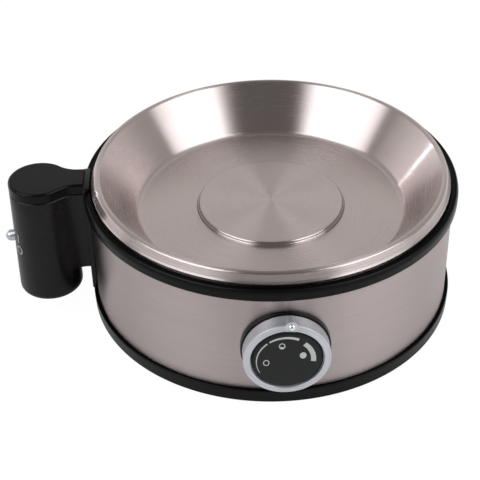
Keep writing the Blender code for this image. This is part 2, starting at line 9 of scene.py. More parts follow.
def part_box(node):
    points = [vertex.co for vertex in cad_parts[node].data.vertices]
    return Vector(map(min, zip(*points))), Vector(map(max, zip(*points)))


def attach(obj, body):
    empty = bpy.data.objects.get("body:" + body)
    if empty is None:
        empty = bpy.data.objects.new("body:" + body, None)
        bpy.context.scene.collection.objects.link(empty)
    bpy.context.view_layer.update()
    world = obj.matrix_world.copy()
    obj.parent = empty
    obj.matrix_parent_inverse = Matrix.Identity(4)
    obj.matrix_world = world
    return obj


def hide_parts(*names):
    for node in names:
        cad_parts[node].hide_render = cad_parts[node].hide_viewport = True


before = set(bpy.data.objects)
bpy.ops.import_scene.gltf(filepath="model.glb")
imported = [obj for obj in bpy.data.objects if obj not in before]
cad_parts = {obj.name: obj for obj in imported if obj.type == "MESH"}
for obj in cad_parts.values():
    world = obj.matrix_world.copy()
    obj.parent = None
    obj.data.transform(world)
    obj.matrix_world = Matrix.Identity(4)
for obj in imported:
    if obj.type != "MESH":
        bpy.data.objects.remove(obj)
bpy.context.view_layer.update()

MM = 0.001
lo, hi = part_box("shell")
AXIS = Vector(((lo.x + hi.x) / 2, (lo.y + hi.y) / 2, 0.0))      # the casing's axis
lo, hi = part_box("knob_ring")
KNOB_Z = (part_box("dial_post")[0].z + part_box("dial_post")[1].z) / 2 / MM
lo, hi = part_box("lever_pin")
PIVOT = Vector((((lo.x + hi.x) / 2 - AXIS.x) / MM, 0.0, (lo.z + hi.z) / 2 / MM))
POD_X = -114.7
pi, cos, sin = math.pi, math.cos, math.sin


# ------------------------------------------------------------------ node materials
class Nodes:
    """A small helper that builds a material's nodes."""

    def __init__(self, name, colour):
        self.mat = bpy.data.materials.new(name)
        self.mat.use_nodes = True
        self.mat.diffuse_color = (*colour, 1)
        self.tree = self.mat.node_tree
        self.shader = self.tree.nodes["Principled BSDF"]
        self.coord = self.tree.nodes.new("ShaderNodeTexCoord").outputs["Object"]

    def node(self, kind, **settings):
        made = self.tree.nodes.new(kind)
        for key, value in settings.items():
            setattr(made, key, value)
        return made

    def link(self, source, target):
        self.tree.links.new(source, target)

    def feed(self, socket, value):
        if isinstance(value, bpy.types.NodeSocket):
            self.link(value, socket)
        else:
            socket.default_value = value

    def maths(self, operation, a, b=0.0, clamp=False):
        made = self.node("ShaderNodeMath", operation=operation, use_clamp=clamp)
        self.feed(made.inputs[0], a)
        self.feed(made.inputs[1], b)
        return made.outputs[0]

    def vector(self, operation, a, b=None, scale=None):
        made = self.node("ShaderNodeVectorMath", operation=operation)
        self.feed(made.inputs[0], a)
        if b is not None:
            self.feed(made.inputs[1], b)
        if scale is not None:
            self.feed(made.inputs["Scale"], scale)
        return made.outputs["Value"] if operation == "LENGTH" else made.outputs["Vector"]

    def parts(self, vector):
        made = self.node("ShaderNodeSeparateXYZ")
        self.link(vector, made.inputs[0])
        return made.outputs

    def joined(self, x, y, z):
        made = self.node("ShaderNodeCombineXYZ")
        for socket, value in zip(made.inputs, (x, y, z)):
            self.feed(socket, value)
        return made.outputs[0]

    def noise(self, vector, scale, detail=2.0, rough=0.5):
        made = self.node("ShaderNodeTexNoise")
        self.link(vector, made.inputs["Vector"])
        made.inputs["Scale"].default_value = scale
        made.inputs["Detail"].default_value = detail
        made.inputs["Roughness"].default_value = rough
        return made.outputs["Fac"]

    def between(self, value, low, high, start=0.3, end=0.7):
        """The value carried from start..end to low..high."""
        made = self.node("ShaderNodeMapRange", clamp=True)
        self.link(value, made.inputs["Value"])
        for key, number in (("From Min", start), ("From Max", end), ("To Min", low), ("To Max", high)):
            made.inputs[key].default_value = number
        return made.outputs["Result"]

    def mix(self, amount, first, second):
        made = self.node("ShaderNodeMix", data_type="RGBA")
        self.feed(made.inputs["Factor"], amount)
        sockets = [s for s in made.inputs if s.type == "RGBA"]
        for socket, value in zip(sockets, (first, second)):
            self.feed(socket, (*value, 1) if isinstance(value, tuple) and len(value) == 3 else value)
        return [s for s in made.outputs if s.type == "RGBA"][0]

    def bump(self, height, strength, distance, base=None):
        made = self.node("ShaderNodeBump")
        made.inputs["Strength"].default_value = strength
        made.inputs["Distance"].default_value = distance
        self.link(height, made.inputs["Height"])
        if base is not None:
            self.link(base, made.inputs["Normal"])
        return made.outputs["Normal"]

    def set(self, **values):
        for key, value in values.items():
            socket = self.shader.inputs[key.replace("_", " ")]
            if isinstance(value, tuple) and len(value) == 3:
                value = (*value, 1)
            self.feed(socket, value)
        return self.mat


def brushed_round(name, colour, rough, anisotropic, fine=2600.0, tangent=True, spread=0.035):
    """Steel brushed round the Z axis: streaks that run round, the same at every turn."""
    n = Nodes(name, colour)
    x, y, z = n.parts(n.coord)
    flat = n.joined(x, y, 0.0)
    radius = n.vector("LENGTH", flat)
    around = n.vector("NORMALIZE", flat)
    across = n.maths("ADD", radius, z)
    streak = n.joined(*[n.maths("MULTIPLY", s, 2.0) for s in n.parts(around)[:2]],
                      n.maths("MULTIPLY", across, fine))
    band = n.joined(*[n.maths("MULTIPLY", s, 1.1) for s in n.parts(around)[:2]],
                    n.maths("MULTIPLY", across, fine / 4.5))
    thin = n.noise(streak, 1.0, 3.0, 0.6)
    wide = n.noise(band, 1.0, 2.0, 0.5)
    cloud = n.noise(n.coord, 28.0, 2.0)
    dark = tuple(c * 0.90 for c in colour)
    pale = tuple(min(1.0, c * 1.07) for c in colour)
    tone = n.mix(n.between(thin, 0.0, 1.0, 0.25, 0.75), dark, pale)
    tone = n.mix(n.between(wide, 0.0, 0.35), tone, colour)
    roughness = n.maths("ADD", n.between(thin, rough - spread, rough + spread),
                        n.between(cloud, -0.015, 0.02))
    normal = n.bump(thin, 0.035, 0.00003)
    n.set(Base_Color=tone, Metallic=1.0, Roughness=roughness, Anisotropic=anisotropic,
          Anisotropic_Rotation=0.25, Normal=normal)
    if tangent:
        around_z = n.node("ShaderNodeTangent", direction_type="RADIAL", axis="Z")
        n.link(around_z.outputs[0], n.shader.inputs["Tangent"])
    return n.mat


def moulded(name, colour, rough, grain=1800.0, depth=0.00003, strength=0.25, coat=0.0, specular=0.5, top=None):
    """Moulded plastic: a fine grain, with slow change of shine where it has been handled. The faces that look up may
    get their own colour, shine and roughness, given as (colour, shine, roughness): on the black rings this is a
    painted shade, on the pod cap a paler matte top."""
    n = Nodes(name, colour)
    upward = None
    if top:
        upward = n.between(n.parts(n.node("ShaderNodeNewGeometry").outputs["Normal"])[2], 0.0, 1.0, 0.90, 0.985)
        colour = n.mix(upward, colour, top[0])
        specular = n.maths("ADD", n.maths("MULTIPLY", upward, top[1] - specular), specular)
    fine = n.noise(n.coord, grain, 3.0, 0.6)
    handled = n.noise(n.coord, 24.0, 3.0, 0.55)
    dust = n.noise(n.coord, 420.0, 4.0, 0.7)
    if top:
        tone = colour
    else:
        pale = tuple(min(1.0, c * 1.30 + 0.0005) for c in colour)
        tone = n.mix(n.between(handled, 0.0, 0.5), colour, pale)
    tone = n.mix(n.between(dust, 0.0, 0.012, 0.62, 0.80), tone, (0.35, 0.34, 0.33))
    roughness = n.maths("ADD", n.between(fine, rough - 0.03, rough + 0.04),
                        n.between(handled, -0.04, 0.05))
    if top:
        roughness = n.maths("ADD", roughness, n.maths("MULTIPLY", upward, top[2] - rough))
    n.set(Base_Color=tone, Roughness=roughness, Specular_IOR_Level=specular,
          Normal=n.bump(fine, strength, depth), Coat_Weight=coat, Coat_Roughness=0.12)
    return n.mat


def painted_silver(name, colour=(0.60, 0.61, 0.64), rough=0.33, metallic=0.68):
    n = Nodes(name, colour)
    flake = n.noise(n.coord, 5200.0, 2.0, 0.7)
    slow = n.noise(n.coord, 60.0, 2.0)
    tone = n.mix(n.between(flake, 0.0, 1.0, 0.25, 0.75), tuple(c * 0.90 for c in colour),
                 tuple(min(1.0, c * 1.08) for c in colour))
    roughness = n.maths("ADD", n.between(flake, rough - 0.05, rough + 0.05), n.between(slow, -0.02, 0.03))
    n.set(Base_Color=tone, Metallic=metallic, Roughness=roughness, Normal=n.bump(flake, 0.08, 0.00002))
    return n.mat


def plain_metal(name, colour, rough, scale=900.0, tint=None, metallic=1.0):
    n = Nodes(name, colour)
    grain = n.noise(n.vector("MULTIPLY", n.coord, (1.0, 1.0, 0.25)), scale, 4.0, 0.6)
    stain = n.noise(n.coord, 45.0, 3.0)
    tone = n.mix(n.between(grain, 0.0, 1.0), tuple(c * 0.86 for c in colour),
                 tuple(min(1.0, c * 1.06) for c in colour))
    tone = n.mix(n.between(stain, 0.0, 0.55), tone, tint or tuple(c * 0.75 for c in colour))
    n.set(Base_Color=tone, Metallic=metallic, Roughness=n.between(grain, rough - 0.06, rough + 0.08),
          Normal=n.bump(grain, 0.12, 0.00003))
    return n.mat


def sleeve(name, colour, weave=False):
    """Lead insulation: silicone, or a glass-fibre sleeve with its braid."""
    n = Nodes(name, colour)
    fine = n.noise(n.coord, 2600.0 if weave else 900.0, 4.0, 0.65)
    slow = n.noise(n.coord, 90.0, 2.0)
    tone = n.mix(n.between(slow, 0.0, 0.6), colour, tuple(c * 0.72 for c in colour))
    n.set(Base_Color=tone, Roughness=n.between(fine, 0.42, 0.62),
          Normal=n.bump(fine, 0.6 if weave else 0.2, 0.00008 if weave else 0.00003))
    return n.mat


DISH = brushed_round("dish_brushed_steel", (0.600, 0.521, 0.503), 0.25, 1.0, spread=0.02)
SHELL = brushed_round("casing_brushed_steel", (0.488, 0.414, 0.410), 0.35, 0.90, fine=2200.0)
BLACK = moulded("satin_black_plastic", (0.0012, 0.0012, 0.0013), 0.27, specular=0.27)
CAP_BLACK = moulded("cap_black_plastic", (0.0012, 0.0012, 0.0013), 0.25, grain=2300.0, specular=0.16,
                    top=((0.0100, 0.0100, 0.0102), 0.12, 0.42))
# the rings' upward faces carry a painted shade: a darker colour and almost no shine, standing in for the shade on the
# top ring beside the dish
RING_BLACK_SHADED_TOPS = moulded("ring_black_plastic_shaded_tops", (0.0018, 0.0018, 0.0019), 0.26, specular=0.14,
                     top=((0.0010, 0.0010, 0.0011), 0.03, 0.40))
BASE_BLACK = moulded("base_black_plastic", (0.020, 0.020, 0.0205), 0.48, grain=1300.0, strength=0.4, depth=0.00005, specular=0.35)
DIAL_BLACK = moulded("dial_black_plastic", (0.0060, 0.0060, 0.0062), 0.42, grain=2600.0, specular=0.30)
PRINT = moulded("printed_pale_grey", (0.46, 0.46, 0.455), 0.55, grain=4000.0, strength=0.1)
PRINT_SOFT = moulded("printed_soft_white", (0.40, 0.40, 0.41), 0.55, grain=4000.0, strength=0.1)
SILVER = painted_silver("satin_silver_paint")
LEVER_SILVER = painted_silver("lever_silver_paint", (0.58, 0.58, 0.61), 0.30, 0.9)
BEAD = painted_silver("pointer_bead_plating", (0.86, 0.86, 0.88), 0.12, 1.0)
RUBBER = moulded("black_rubber", (0.035, 0.035, 0.035), 0.72, grain=1500.0, strength=0.5, depth=0.00006)
CORD = moulded("cord_black_pvc", (0.010, 0.010, 0.0105), 0.44, grain=1200.0)
ZINC = plain_metal("zinc_plated_steel", (0.62, 0.63, 0.64), 0.30, tint=(0.50, 0.47, 0.40))
PIN = plain_metal("nickel_plated_pin", (0.72, 0.70, 0.66), 0.22)


# ------------------------------------------------------------------ mesh building
def made(name, bm, mat, body, nodes=(), slot=None, sharp=32.0, at=None, fix=True):
    """A piece from a bmesh in millimetres about the casing's axis (or about the point at)."""
    if fix:
        bmesh.ops.recalc_face_normals(bm, faces=bm.faces)
    bmesh.ops.scale(bm, vec=(MM, MM, MM), verts=bm.verts)
    mesh = bpy.data.meshes.new(name)
    bm.to_mesh(mesh)
    bm.free()
    mesh.shade_smooth()
    mesh.set_sharp_from_angle(angle=math.radians(sharp))
    if mat:
        mesh.materials.append(mat)
    obj = bpy.data.objects.new(name, mesh)
    obj.location = AXIS + (Vector(at) * MM if at else Vector((0, 0, 0)))
    bpy.context.scene.collection.objects.link(obj)
    if body:
        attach(obj, body)
        if nodes:
            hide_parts(*nodes)
    return obj


def rounded(points, closed=False, segments=6, lead=0.14):
    """A profile whose corners, given as (r, t, radius), become arcs, with a point kept close by
    on each flat, so that flats shade as flats."""
    out = []
    count = len(points)
    for i, point in enumerate(points):
        radius = point[2] if len(point) > 2 else 0.0
        here = Vector(point[:2])
        if radius <= 0 or (not closed and i in (0, count - 1)):
            out.append(here)
            continue
        a = Vector(points[i - 1][:2]) - here
        b = Vector(points[(i + 1) % count][:2]) - here
        angle = a.angle(b)
        if angle > pi - 0.01:
            out.append(here)
            continue
        reach = min(radius / math.tan(angle / 2), a.length * 0.48, b.length * 0.48)
        radius = reach * math.tan(angle / 2)
        a_dir, b_dir = a.normalized(), b.normalized()
        centre = here + (a_dir + b_dir).normalized() * (radius / sin(angle / 2))
        start, end = here + a_dir * reach - centre, here + b_dir * reach - centre
        if a.length * 0.5 > reach + lead:
            out.append(here + a_dir * (reach + lead))
        turn = start.angle_signed(end)
        for k in range(segments + 1):
            t = -turn * k / segments
            out.append(centre + Vector((start.x * cos(t) - start.y * sin(t),
                                        start.x * sin(t) + start.y * cos(t))))
        if b.length * 0.5 > reach + lead:
            out.append(here + b_dir * (reach + lead))
    return [(p.x, p.y) for p in out]


def turned(profile, steps=192, axis="Z", height=0.0, centre=(0.0, 0.0), closed=None):
    """The profile turned all the way round. Points on the axis are shared by every step."""
    if closed is None:
        closed = not (profile[0][0] < 1e-6 and profile[-1][0] < 1e-6)
    bm = bmesh.new()
    columns = []
    for r, t in profile:
        ring = []
        for k in range(1 if r < 1e-6 else steps):
            a = 2 * pi * k / steps
            if axis == "Z":
                ring.append(bm.verts.new((centre[0] + r * cos(a), centre[1] + r * sin(a), t)))
            else:
                ring.append(bm.verts.new((centre[0] + r * cos(a), -t, height + r * sin(a))))
        columns.append(ring)
    pairs = list(zip(columns, columns[1:]))
    if closed:
        pairs.append((columns[-1], columns[0]))
    for first, second in pairs:
        if len(first) == 1 and len(second) == 1:
            continue
        for k in range(steps):
            j = (k + 1) % steps
            if len(first) == 1:
                bm.faces.new((first[0], second[k], second[j]))
            elif len(second) == 1:
                bm.faces.new((first[j], first[k], second[0]))
            else:
                bm.faces.new((first[k], second[k], second[j], first[j]))
    return bm


def box(low, high, bevel=0.0, segments=3, edges=None):
    bm = bmesh.new()
    bmesh.ops.create_cube(bm, size=1.0)
    bmesh.ops.scale(bm, vec=[b - a for a, b in zip(low, high)], verts=bm.verts)
    bmesh.ops.translate(bm, vec=[(a + b) / 2 for a, b in zip(low, high)], verts=bm.verts)
    if bevel:
        chosen = [e for e in bm.edges if edges is None or edges(e)]
        bmesh.ops.bevel(bm, geom=chosen, offset=bevel, segments=segments, profile=0.5,
                        affect="EDGES", clamp_overlap=True)
    return bm


def rod(start, end, radius, sides=48, radius_end=None):
    bm = bmesh.new()
    start, end = Vector(start), Vector(end)
    turn = (end - start).to_track_quat("Z", "Y").to_matrix().to_4x4()
    bmesh.ops.create_cone(bm, cap_ends=True, cap_tris=False, segments=sides, radius1=radius,
                          radius2=radius if radius_end is None else radius_end,
                          depth=(end - start).length,
                          matrix=Matrix.Translation((start + end) / 2) @ turn)
    return bm


def combine(obj, operation, *others):
    """Booleans run here and now, with the helpers removed afterwards."""
    for bm in others:
        helper = made("helper", bm, None, None)
        modifier = obj.modifiers.new("boolean", "BOOLEAN")
        modifier.operation, modifier.solver, modifier.object = operation, "EXACT", helper
        bpy.context.view_layer.update()
        graph = bpy.context.evaluated_depsgraph_get()
        fresh = bpy.data.meshes.new_from_object(obj.evaluated_get(graph), depsgraph=graph)
        obj.modifiers.clear()
        old, obj.data = obj.data, fresh
        fresh.name = obj.name
        bpy.data.meshes.remove(old)
        bpy.data.objects.remove(helper, do_unlink=True)
    return obj


def resharpen(obj, angle=32.0):
    obj.data.shade_smooth()
    obj.data.set_sharp_from_angle(angle=math.radians(angle))
    return obj


def soften(obj, width, segments=3, angle=40.0):
    """A small bevel on the sharp edges, applied."""
    modifier = obj.modifiers.new("edge", "BEVEL")
    modifier.width, modifier.segments = width * MM, segments
    modifier.limit_method, modifier.angle_limit = "ANGLE", math.radians(angle)
    modifier.harden_normals = False
    modifier.use_clamp_overlap = True
    bpy.context.view_layer.update()
    graph = bpy.context.evaluated_depsgraph_get()
    fresh = bpy.data.meshes.new_from_object(obj.evaluated_get(graph), depsgraph=graph)
    obj.modifiers.clear()
    old, obj.data = obj.data, fresh
    fresh.name = obj.name
    bpy.data.meshes.remove(old)
    return resharpen(obj)


# ------------------------------------------------------------------ dish
dish_top = [(0, 52.9), (36.3, 52.9, 0.95), (36.95, 50.7, 0.30), (67.1, 50.7, 4.0),
            (84.45, 73.55, 0.5), (85.6, 74.18, 0.9), (87.25, 73.6, 1.1), (88.6, 70.0, 4.0), (89.15, 69.1, 0.1),
            (89.05, 68.75, 0.15), (88.1, 67.7, 0.1), (87.95, 65.6, 0.15)]
dish_under = [(87.2, 65.6, 0.15), (87.2, 68.4, 0.5), (86.7, 70.5, 1.0), (86.3, 72.8, 0.6), (85.5, 73.1, 0.4), (84.9, 72.6, 0.4),
              (67.7, 49.7, 4.4), (38.0, 49.7, 0.6), (36.9, 51.9, 0.6), (2.0, 51.9, 0.3), (2.0, 33.0), (0, 33.0)]
dish = made("dish_body", turned(rounded([tuple(p) for p in dish_top + dish_under]), 256), DISH, "base",
            ["heating_dish"], "dish_steel")

# ------------------------------------------------------------------ top ring, casing, base ring
ring_profile = rounded([
    (93.15, 66.2, 2.5), (92.45, 68.7, 1.7), (89.3, 67.7, 0.3), (89.3, 63.8, 0.4), (80.2, 63.8, 0.2),
    (80.2, 61.9, 0.2), (88.2, 61.9, 0.2), (88.2, 56.0, 0.2), (89.9, 56.0, 0.2), (89.9, 63.2),
    (91.1, 63.2), (91.1, 62.4, 0.15), (93.05, 62.4, 0.45)], closed=True)
top_ring = made("top_ring_moulding", turned(ring_profile, 256), RING_BLACK_SHADED_TOPS, "base", ["top_ring"], "black_plastic")
combine(top_ring, "DIFFERENCE", box((-95.0, -9.6, 61.0), (-89.35, 9.6, 72.0)))
resharpen(top_ring)

shell_profile = rounded([(90.8, 62.9, 0.2), (90.8, 7.5, 0.2), (90.2, 7.5, 0.2), (90.2, 62.9, 0.2)], closed=True,
                        segments=2)
shell = made("casing_sheet", turned(shell_profile, 288), SHELL, "base", ["shell"], "casing_steel")
combine(shell, "DIFFERENCE", rod((0, -95, KNOB_Z), (0, -82, KNOB_Z), 5.9), rod((-106, 0, 42), (-85, 0, 42), 3.6, 32),
        rod((-98, 0, 29), (-85, 0, 29), 1.6, 24), rod((-98, 0, 52), (-85, 0, 52), 1.6, 24))
resharpen(shell)

base_profile = rounded([
    (92.6, 1.2, 0.7), (92.85, 7.9, 3.0), (92.6, 8.45, 0.45), (91.1, 8.45, 0.15), (91.1, 7.2), (89.9, 7.2),
    (89.9, 10.4, 0.2), (88.4, 10.4, 0.2), (88.4, 5.0, 0.2), (77.0, 5.0, 0.2), (77.0, 3.6, 0.2), (88.5, 3.6, 0.2),
    (88.5, 1.2, 0.3)], closed=True)
base_ring = made("base_ring_moulding", turned(base_profile, 256), RING_BLACK_SHADED_TOPS, "base", ["base_ring"], "black_plastic")
screw_at = [(82.3 * cos(math.radians(90 * i + 20)), 82.3 * sin(math.radians(90 * i + 20))) for i in range(4)]
combine(base_ring, "DIFFERENCE", *[rod((x, y, 1.0), (x, y, 6.0), 1.6, 24) for x, y in screw_at])
resharpen(base_ring)


# ------------------------------------------------------------------ control knob
def face_on(profile, steps=160):
    return turned(profile, steps, axis="Y", height=KNOB_Z)


KNOB_AXIS = (0.0, -96.0, KNOB_Z)
collar = made("knob_collar_moulding", face_on(rounded(
    [(20.75, 92.35, 0.35), (14.0, 92.35, 0.2), (14.0, 84.0), (20.75, 84.0)], closed=True)), BLACK, "base",
    ["knob_collar"], "black_plastic")
combine(collar, "DIFFERENCE", rod((0, 0, 2.0), (0, 0, 63.2), 91.1, 256))
resharpen(collar)

dial = made("dial_disc", face_on(rounded([
    (0, 100.0), (14.7, 100.0, 1.2), (15.75, 99.45, 0.6), (16.0, 98.95, 0.1),
    (16.5, 98.95, 0.1), (16.5, 98.7, 0.1),
    (0, 98.7)], segments=4)), DIAL_BLACK, "base", ["dial_face"], "dial_plastic")

knob_ring = made("knob_ring_moulding", face_on(rounded([
    (19.7, 92.6, 0.2), (20.0, 93.1, 0.4), (20.0, 99.85, 0.40), (19.35, 100.05, 0.25), (18.95, 99.9, 0.2), (17.3, 100.5, 0.3), (16.8, 100.15, 0.25),
    (16.8, 98.35, 0.1), (4.4, 98.35, 0.2), (4.4, 93.4, 0.2), (6.6, 93.4, 0.2), (6.6, 96.6, 0.3),
    (17.6, 96.6, 0.3), (17.6, 92.6, 0.2)], closed=True), 200), SILVER, "control_knob", ["knob_ring"], "satin_silver")
lo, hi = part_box("pointer_bead")
bead_at = Vector((((lo.x + hi.x) / 2 - AXIS.x) / MM, 0.0, (lo.z + hi.z) / 2 / MM - KNOB_Z))
pointer = math.atan2(bead_at.z, bead_at.x)


def knob_point(radius, rho):
    return (radius * cos(pointer), -rho, KNOB_Z + radius * sin(pointer))


combine(knob_ring, "UNION", rod(knob_point(18.6, 94.0), knob_point(18.95, 100.2), 2.2, 48, radius_end=3.05))
combine(knob_ring, "DIFFERENCE", rod((0, -98.35, KNOB_Z), (0, -103.0, KNOB_Z), 16.8, 160))
resharpen(knob_ring)
soften(knob_ring, 0.24, 3, 38)

bead = bmesh.new()
bmesh.ops.create_uvsphere(bead, u_segments=40, v_segments=24, radius=1.8)
bmesh.ops.scale(bead, vec=(1, 0.85, 1), verts=bead.verts)
bmesh.ops.bisect_plane(bead, geom=list(bead.verts) + list(bead.edges) + list(bead.faces),
                       plane_co=(0, 0.25, 0), plane_no=(0, 1, 0), clear_outer=True)
bmesh.ops.holes_fill(bead, edges=[e for e in bead.edges if e.is_boundary], sides=0)
bmesh.ops.translate(bead, vec=knob_point(19.3, 100.35), verts=bead.verts)
made("pointer_bead_lens", bead, BEAD, "control_knob", ["pointer_bead"], "bead_chrome")


# ------------------------------------------------------------------ printed scale on the dial
def flat_shape(name, outlines, mat, body, slot, front=100.03, thick=0.05):
    """Thin printed shapes on the dial, each a closed outline of (x, z) points."""
    bm = bmesh.new()
    for outline in outlines:
        near = [bm.verts.new((x, -front, KNOB_Z + z)) for x, z in outline]
        far = [bm.verts.new((x, -front + thick, KNOB_Z + z)) for x, z in outline]
        bm.faces.new(near)
        bm.faces.new(list(reversed(far)))
        for i in range(len(outline)):
            j = (i + 1) % len(outline)
            bm.faces.new((near[i], far[i], far[j], near[j]))
    return made(name, bm, mat, body, (), slot)


def arc_band(start, end, inner, outer, steps=40, centre=(0.0, 0.0)):
    """A band from start to end degrees, whose radii run evenly between the pairs given."""
    first, second = [], []
    for i in range(steps + 1):
        t = i / steps
        a = math.radians(start + (end - start) * t)
        ri, ro = inner[0] + (inner[1] - inner[0]) * t, outer[0] + (outer[1] - outer[0]) * t
        first.append((centre[0] + ro * cos(a), centre[1] + ro * sin(a)))
        second.append((centre[0] + ri * cos(a), centre[1] + ri * sin(a)))
    return first + list(reversed(second))


TALL = 1.22                                  # the dial's signs are a little taller than wide


def disc_outline(x, z, radius, steps=32):
    return [(x + radius * cos(2 * pi * i / steps), z + TALL * radius * sin(2 * pi * i / steps)) for i in range(steps)]


def hoop(x, z, outer, inner, start=0.0, end=360.0, steps=40):
    return [(x + px, z + TALL * pz) for px, pz in arc_band(start, end, (inner, inner), (outer, outer), steps)]


flat_shape("dial_scale", [
    arc_band(210, 132, (14.12, 13.05), (14.38, 13.78)),
    arc_band(126.5, 66, (12.95, 12.0), (13.75, 13.4)),
    arc_band(49, -7, (10.7, 10.7), (13.0, 13.0)),
    disc_outline(7.1, 2.2, 1.52),
], PRINT, "base", "dial_plastic")
for number, (x, z) in enumerate(((-9.5, -1.2), (-2.35, 8.2))):
    flat_shape("dial_ring_%d" % (number + 1), [hoop(x, z, 1.45, 1.03, 0, 179.9), hoop(x, z, 1.45, 1.03, 180, 359.9)], PRINT, "base", "dial_plastic")
half = [(-2.35 + 1.06 * cos(math.radians(a)), 8.2 + 1.27 * sin(math.radians(a))) for a in range(196, 346, 10)]
flat_shape("dial_half_fill", [half], PRINT, "base", "dial_plastic")


# ------------------------------------------------------------------ side pod
def pod_paths(radius, half, end_x, inset=0.0, arc=56, bend=14):
    """The pod's plan: the wide arc (from +Y round by -X to -Y) and the way round the arm."""
    fillet = 14.0 + inset
    radius, half = radius - inset, half - inset
    cx = POD_X + math.sqrt((radius + fillet) ** 2 - (half + fillet) ** 2)
    cy = half + fillet
    to_centre = math.atan2(cy, cx - POD_X)
    wide = [(POD_X + radius * cos(to_centre + 2 * (pi - to_centre) * i / arc),
             radius * sin(to_centre + 2 * (pi - to_centre) * i / arc)) for i in range(arc + 1)]
    back = math.atan2(-cy, POD_X - cx)
    bend_points = [(cx + fillet * cos(-pi / 2 + (back + pi / 2) * i / bend),
                    cy + fillet * sin(-pi / 2 + (back + pi / 2) * i / bend)) for i in range(bend)]
    upper = [(end_x, half), (end_x - 0.2, half)] + bend_points
    arm = [(x, -y) for x, y in reversed(upper)] + upper
    inner = [(POD_X + radius * cos(to_centre - 2 * to_centre * i / 24),
              radius * sin(to_centre - 2 * to_centre * i / 24)) for i in range(1, 24)]
    return wide, arm, list(reversed(inner))


def pod_radius(z):
    return 16.1 + (15.0 - 16.1) * (z - 8.3) / (66.0 - 8.3)


bm = bmesh.new()
LOW = 21.7
levels = [(6.8, -2.9), (6.88, -2.25), (7.12, -1.62), (7.55, -1.0), (8.15, -0.5), (8.9, -0.16), (9.7, -0.02),
          (10.4, 0.0), (16.0, 0.0), (LOW, 0.0)]
upper_levels = [(LOW, 0.0), (21.9, 0.0), (28.0, 0.0), (38.0, 0.0), (48.0, 0.0), (58.0, 0.0), (65.2, 0.0), (65.7, -0.10), (66.0, -0.4)]
wide_rows, inner_rows = [], []
for z, extra in levels:
    wide, arm, inner = pod_paths(pod_radius(z) + extra, 7.6, -92.6)
    if extra < -3.0:
        pass
    wide_rows.append([bm.verts.new((x, y, z)) for x, y in wide])
    inner_rows.append([bm.verts.new((x, y, z)) for x, y in inner])
arm_rows = []
for number, (z, extra) in enumerate(upper_levels):
    wide, arm, inner = pod_paths(pod_radius(z) + extra, 7.6 + extra, -92.6)
    if number:
        wide_rows.append([bm.verts.new((x, y, z)) for x, y in wide])
    arm_rows.append([bm.verts.new((x, y, z)) for x, y in arm])


def strip(first, second):
    for i in range(len(first) - 1):
        bm.faces.new((first[i], first[i + 1], second[i + 1], second[i]))


for first, second in zip(wide_rows, wide_rows[1:]):
    strip(first, second)
for k in range(len(levels) - 1):
    a = [wide_rows[k][-1]] + inner_rows[k] + [wide_rows[k][0]]
    b = [wide_rows[k + 1][-1]] + inner_rows[k + 1] + [wide_rows[k + 1][0]]
    strip(a, b)
join = len(levels) - 1
for k in range(len(upper_levels) - 1):
    a = [wide_rows[join + k][-1]] + arm_rows[k] + [wide_rows[join + k][0]]
    b = [wide_rows[join + k + 1][-1]] + arm_rows[k + 1] + [wide_rows[join + k + 1][0]]
    strip(a, b)
bm.faces.new(wide_rows[0] + inner_rows[0])
bm.faces.new([wide_rows[join][-1]] + arm_rows[0] + [wide_rows[join][0]] + list(reversed(inner_rows[join])))
bm.faces.new(wide_rows[-1] + arm_rows[-1])
housing = made("pod_moulding", bm, BLACK, "base", ["pod_housing"], "black_plastic")
combine(housing, "DIFFERENCE", rod((POD_X, 0, 10.7), (POD_X, 0, 70.0), 13.2, 96),
        box((-140.0, -3.5, PIVOT.z - 4.9), (-124.0, 3.5, PIVOT.z + 4.9), 2.8, 6,
            lambda e: abs(e.verts[0].co.x - e.verts[1].co.x) > 1),
        rod((-106, 0, 42), (-85, 0, 42), 3.6, 32), rod((-98, 0, 29), (-91, 0, 29), 1.6, 24),
        rod((-98, 0, 52), (-91, 0, 52), 1.6, 24))
resharpen(housing)

bm = bmesh.new()
CAP_LOW, CAP_TOP, EDGE = 66.3, 71.7, 1.35
rows = []
for z, inset in [(CAP_LOW + 0.0, 0.25), (CAP_LOW + 0.25, 0.0), (CAP_LOW + 0.6, 0.0), (CAP_TOP - EDGE - 0.3, 0.0)] + [
        (CAP_TOP - EDGE + EDGE * sin(pi / 2 * k / 7), EDGE - EDGE * cos(pi / 2 * k / 7)) for k in range(8)] + [
        (CAP_TOP, EDGE + 0.3)]:
    wide, arm, inner = pod_paths(15.0, 7.6, -92.6 - (0.0 if inset < 0.3 else inset * 0.15), inset)
    rows.append([bm.verts.new((x, y, z)) for x, y in wide + arm])
for first, second in zip(rows, rows[1:]):
    strip(first + [first[0]], second + [second[0]])
bm.faces.new(rows[-1])
inner_low = [bm.verts.new((x, y, CAP_LOW)) for x, y in sum(pod_paths(15.0, 7.6, -94.6, 2.0)[:2], [])]
inner_top = [bm.verts.new((x, y, CAP_TOP - 2.0)) for x, y in sum(pod_paths(15.0, 7.6, -94.6, 2.0)[:2], [])]
strip(rows[0] + [rows[0][0]], inner_low + [inner_low[0]])
strip(inner_low + [inner_low[0]], inner_top + [inner_top[0]])
bm.faces.new(inner_top)
cap = made("pod_cap_moulding", bm, CAP_BLACK, "base", ["pod_cap"], "black_plastic")

bracket = made("arm_bracket_moulding", box((-92.95, -9.3, 8.9), (-89.65, 9.3, 70.4), 0.45, 3), BLACK, "base",
               ["arm_bracket"], "black_plastic")
combine(bracket, "DIFFERENCE", rod((0, 0, 2.0), (0, 0, 63.2), 91.1, 256), rod((-106, 0, 42), (-85, 0, 42), 3.6, 32),
        rod((-98, 0, 29), (-85, 0, 29), 1.6, 24), rod((-98, 0, 52), (-85, 0, 52), 1.6, 24))
resharpen(bracket)


